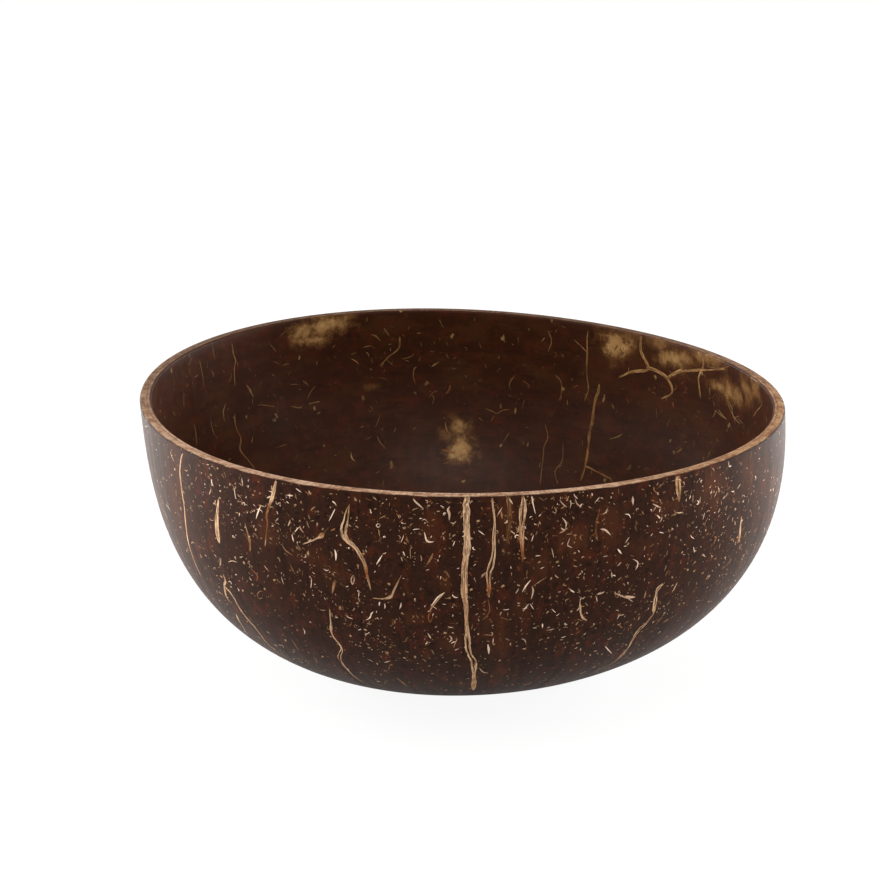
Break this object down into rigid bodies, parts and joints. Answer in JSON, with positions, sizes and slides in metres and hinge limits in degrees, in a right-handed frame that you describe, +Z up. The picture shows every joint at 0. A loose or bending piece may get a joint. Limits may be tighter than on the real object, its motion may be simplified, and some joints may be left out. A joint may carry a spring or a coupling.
{
  "type": "coconut shell bowl",
  "caption": "Small round bowl: half a sanded and polished coconut shell with pale fibre strands set flush in its dark wall, open at the top, resting on a flat sanded foot.",
  "frame": {"origin": "on the flat of the sanded foot, straight under the middle of the rim", "axes": "+Z up along the bowl's axis, out of its mouth; +X to the right and -Y towards the viewer as the picture shows it"},
  "size_m": [0.1104, 0.1103, 0.047],
  "materials": {
    "shell": "dark brown coconut shell, sanded and polished to a satin gloss",
    "strand": "pale tan fibre strand, sanded flush with the outer face and polished",
    "vein": "orange-brown vein of the shell's inner face, satin"
  },
  "bodies": {
    "root": {"shell": "shell", "front_long_strand": "strand", "front_split_strand": "strand", "front_faint_strand": "strand", "front_broad_strand": "strand", "left_long_strand": "strand", "left_spindle_strand": "strand", "left_forked_strand": "strand", "left_amber_strand": "strand", "left_short_strand": "strand", "bent_strand": "strand", "hooked_strand": "strand", "small_forked_strand": "strand", "low_looped_strand": "strand", "low_curved_strand": "strand", "right_hook_strand": "strand", "right_long_strand": "strand", "right_short_strand": "strand", "right_rim_strand": "strand", "side_strand": "strand", "rear_right_strand": "strand", "rear_short_strand": "strand", "rear_long_strand": "strand", "rear_rim_strand": "strand", "rear_low_strand": "strand", "rear_bent_strand": "strand", "rear_forked_strand": "strand", "rear_left_strand": "strand", "inner_tube_vein": "vein", "inner_branching_vein": "vein", "inner_back_vein": "vein", "inner_left_vein": "vein", "inner_left_short_vein": "vein", "inner_left_low_vein": "vein", "inner_middle_vein": "vein", "inner_low_vein": "vein", "inner_low_side_vein": "vein", "inner_upper_vein": "vein", "inner_star_vein": "vein", "inner_side_vein": "vein", "inner_front_right_vein": "vein", "inner_front_vein": "vein", "inner_front_left_vein": "vein"}
  },
  "joints": []
}
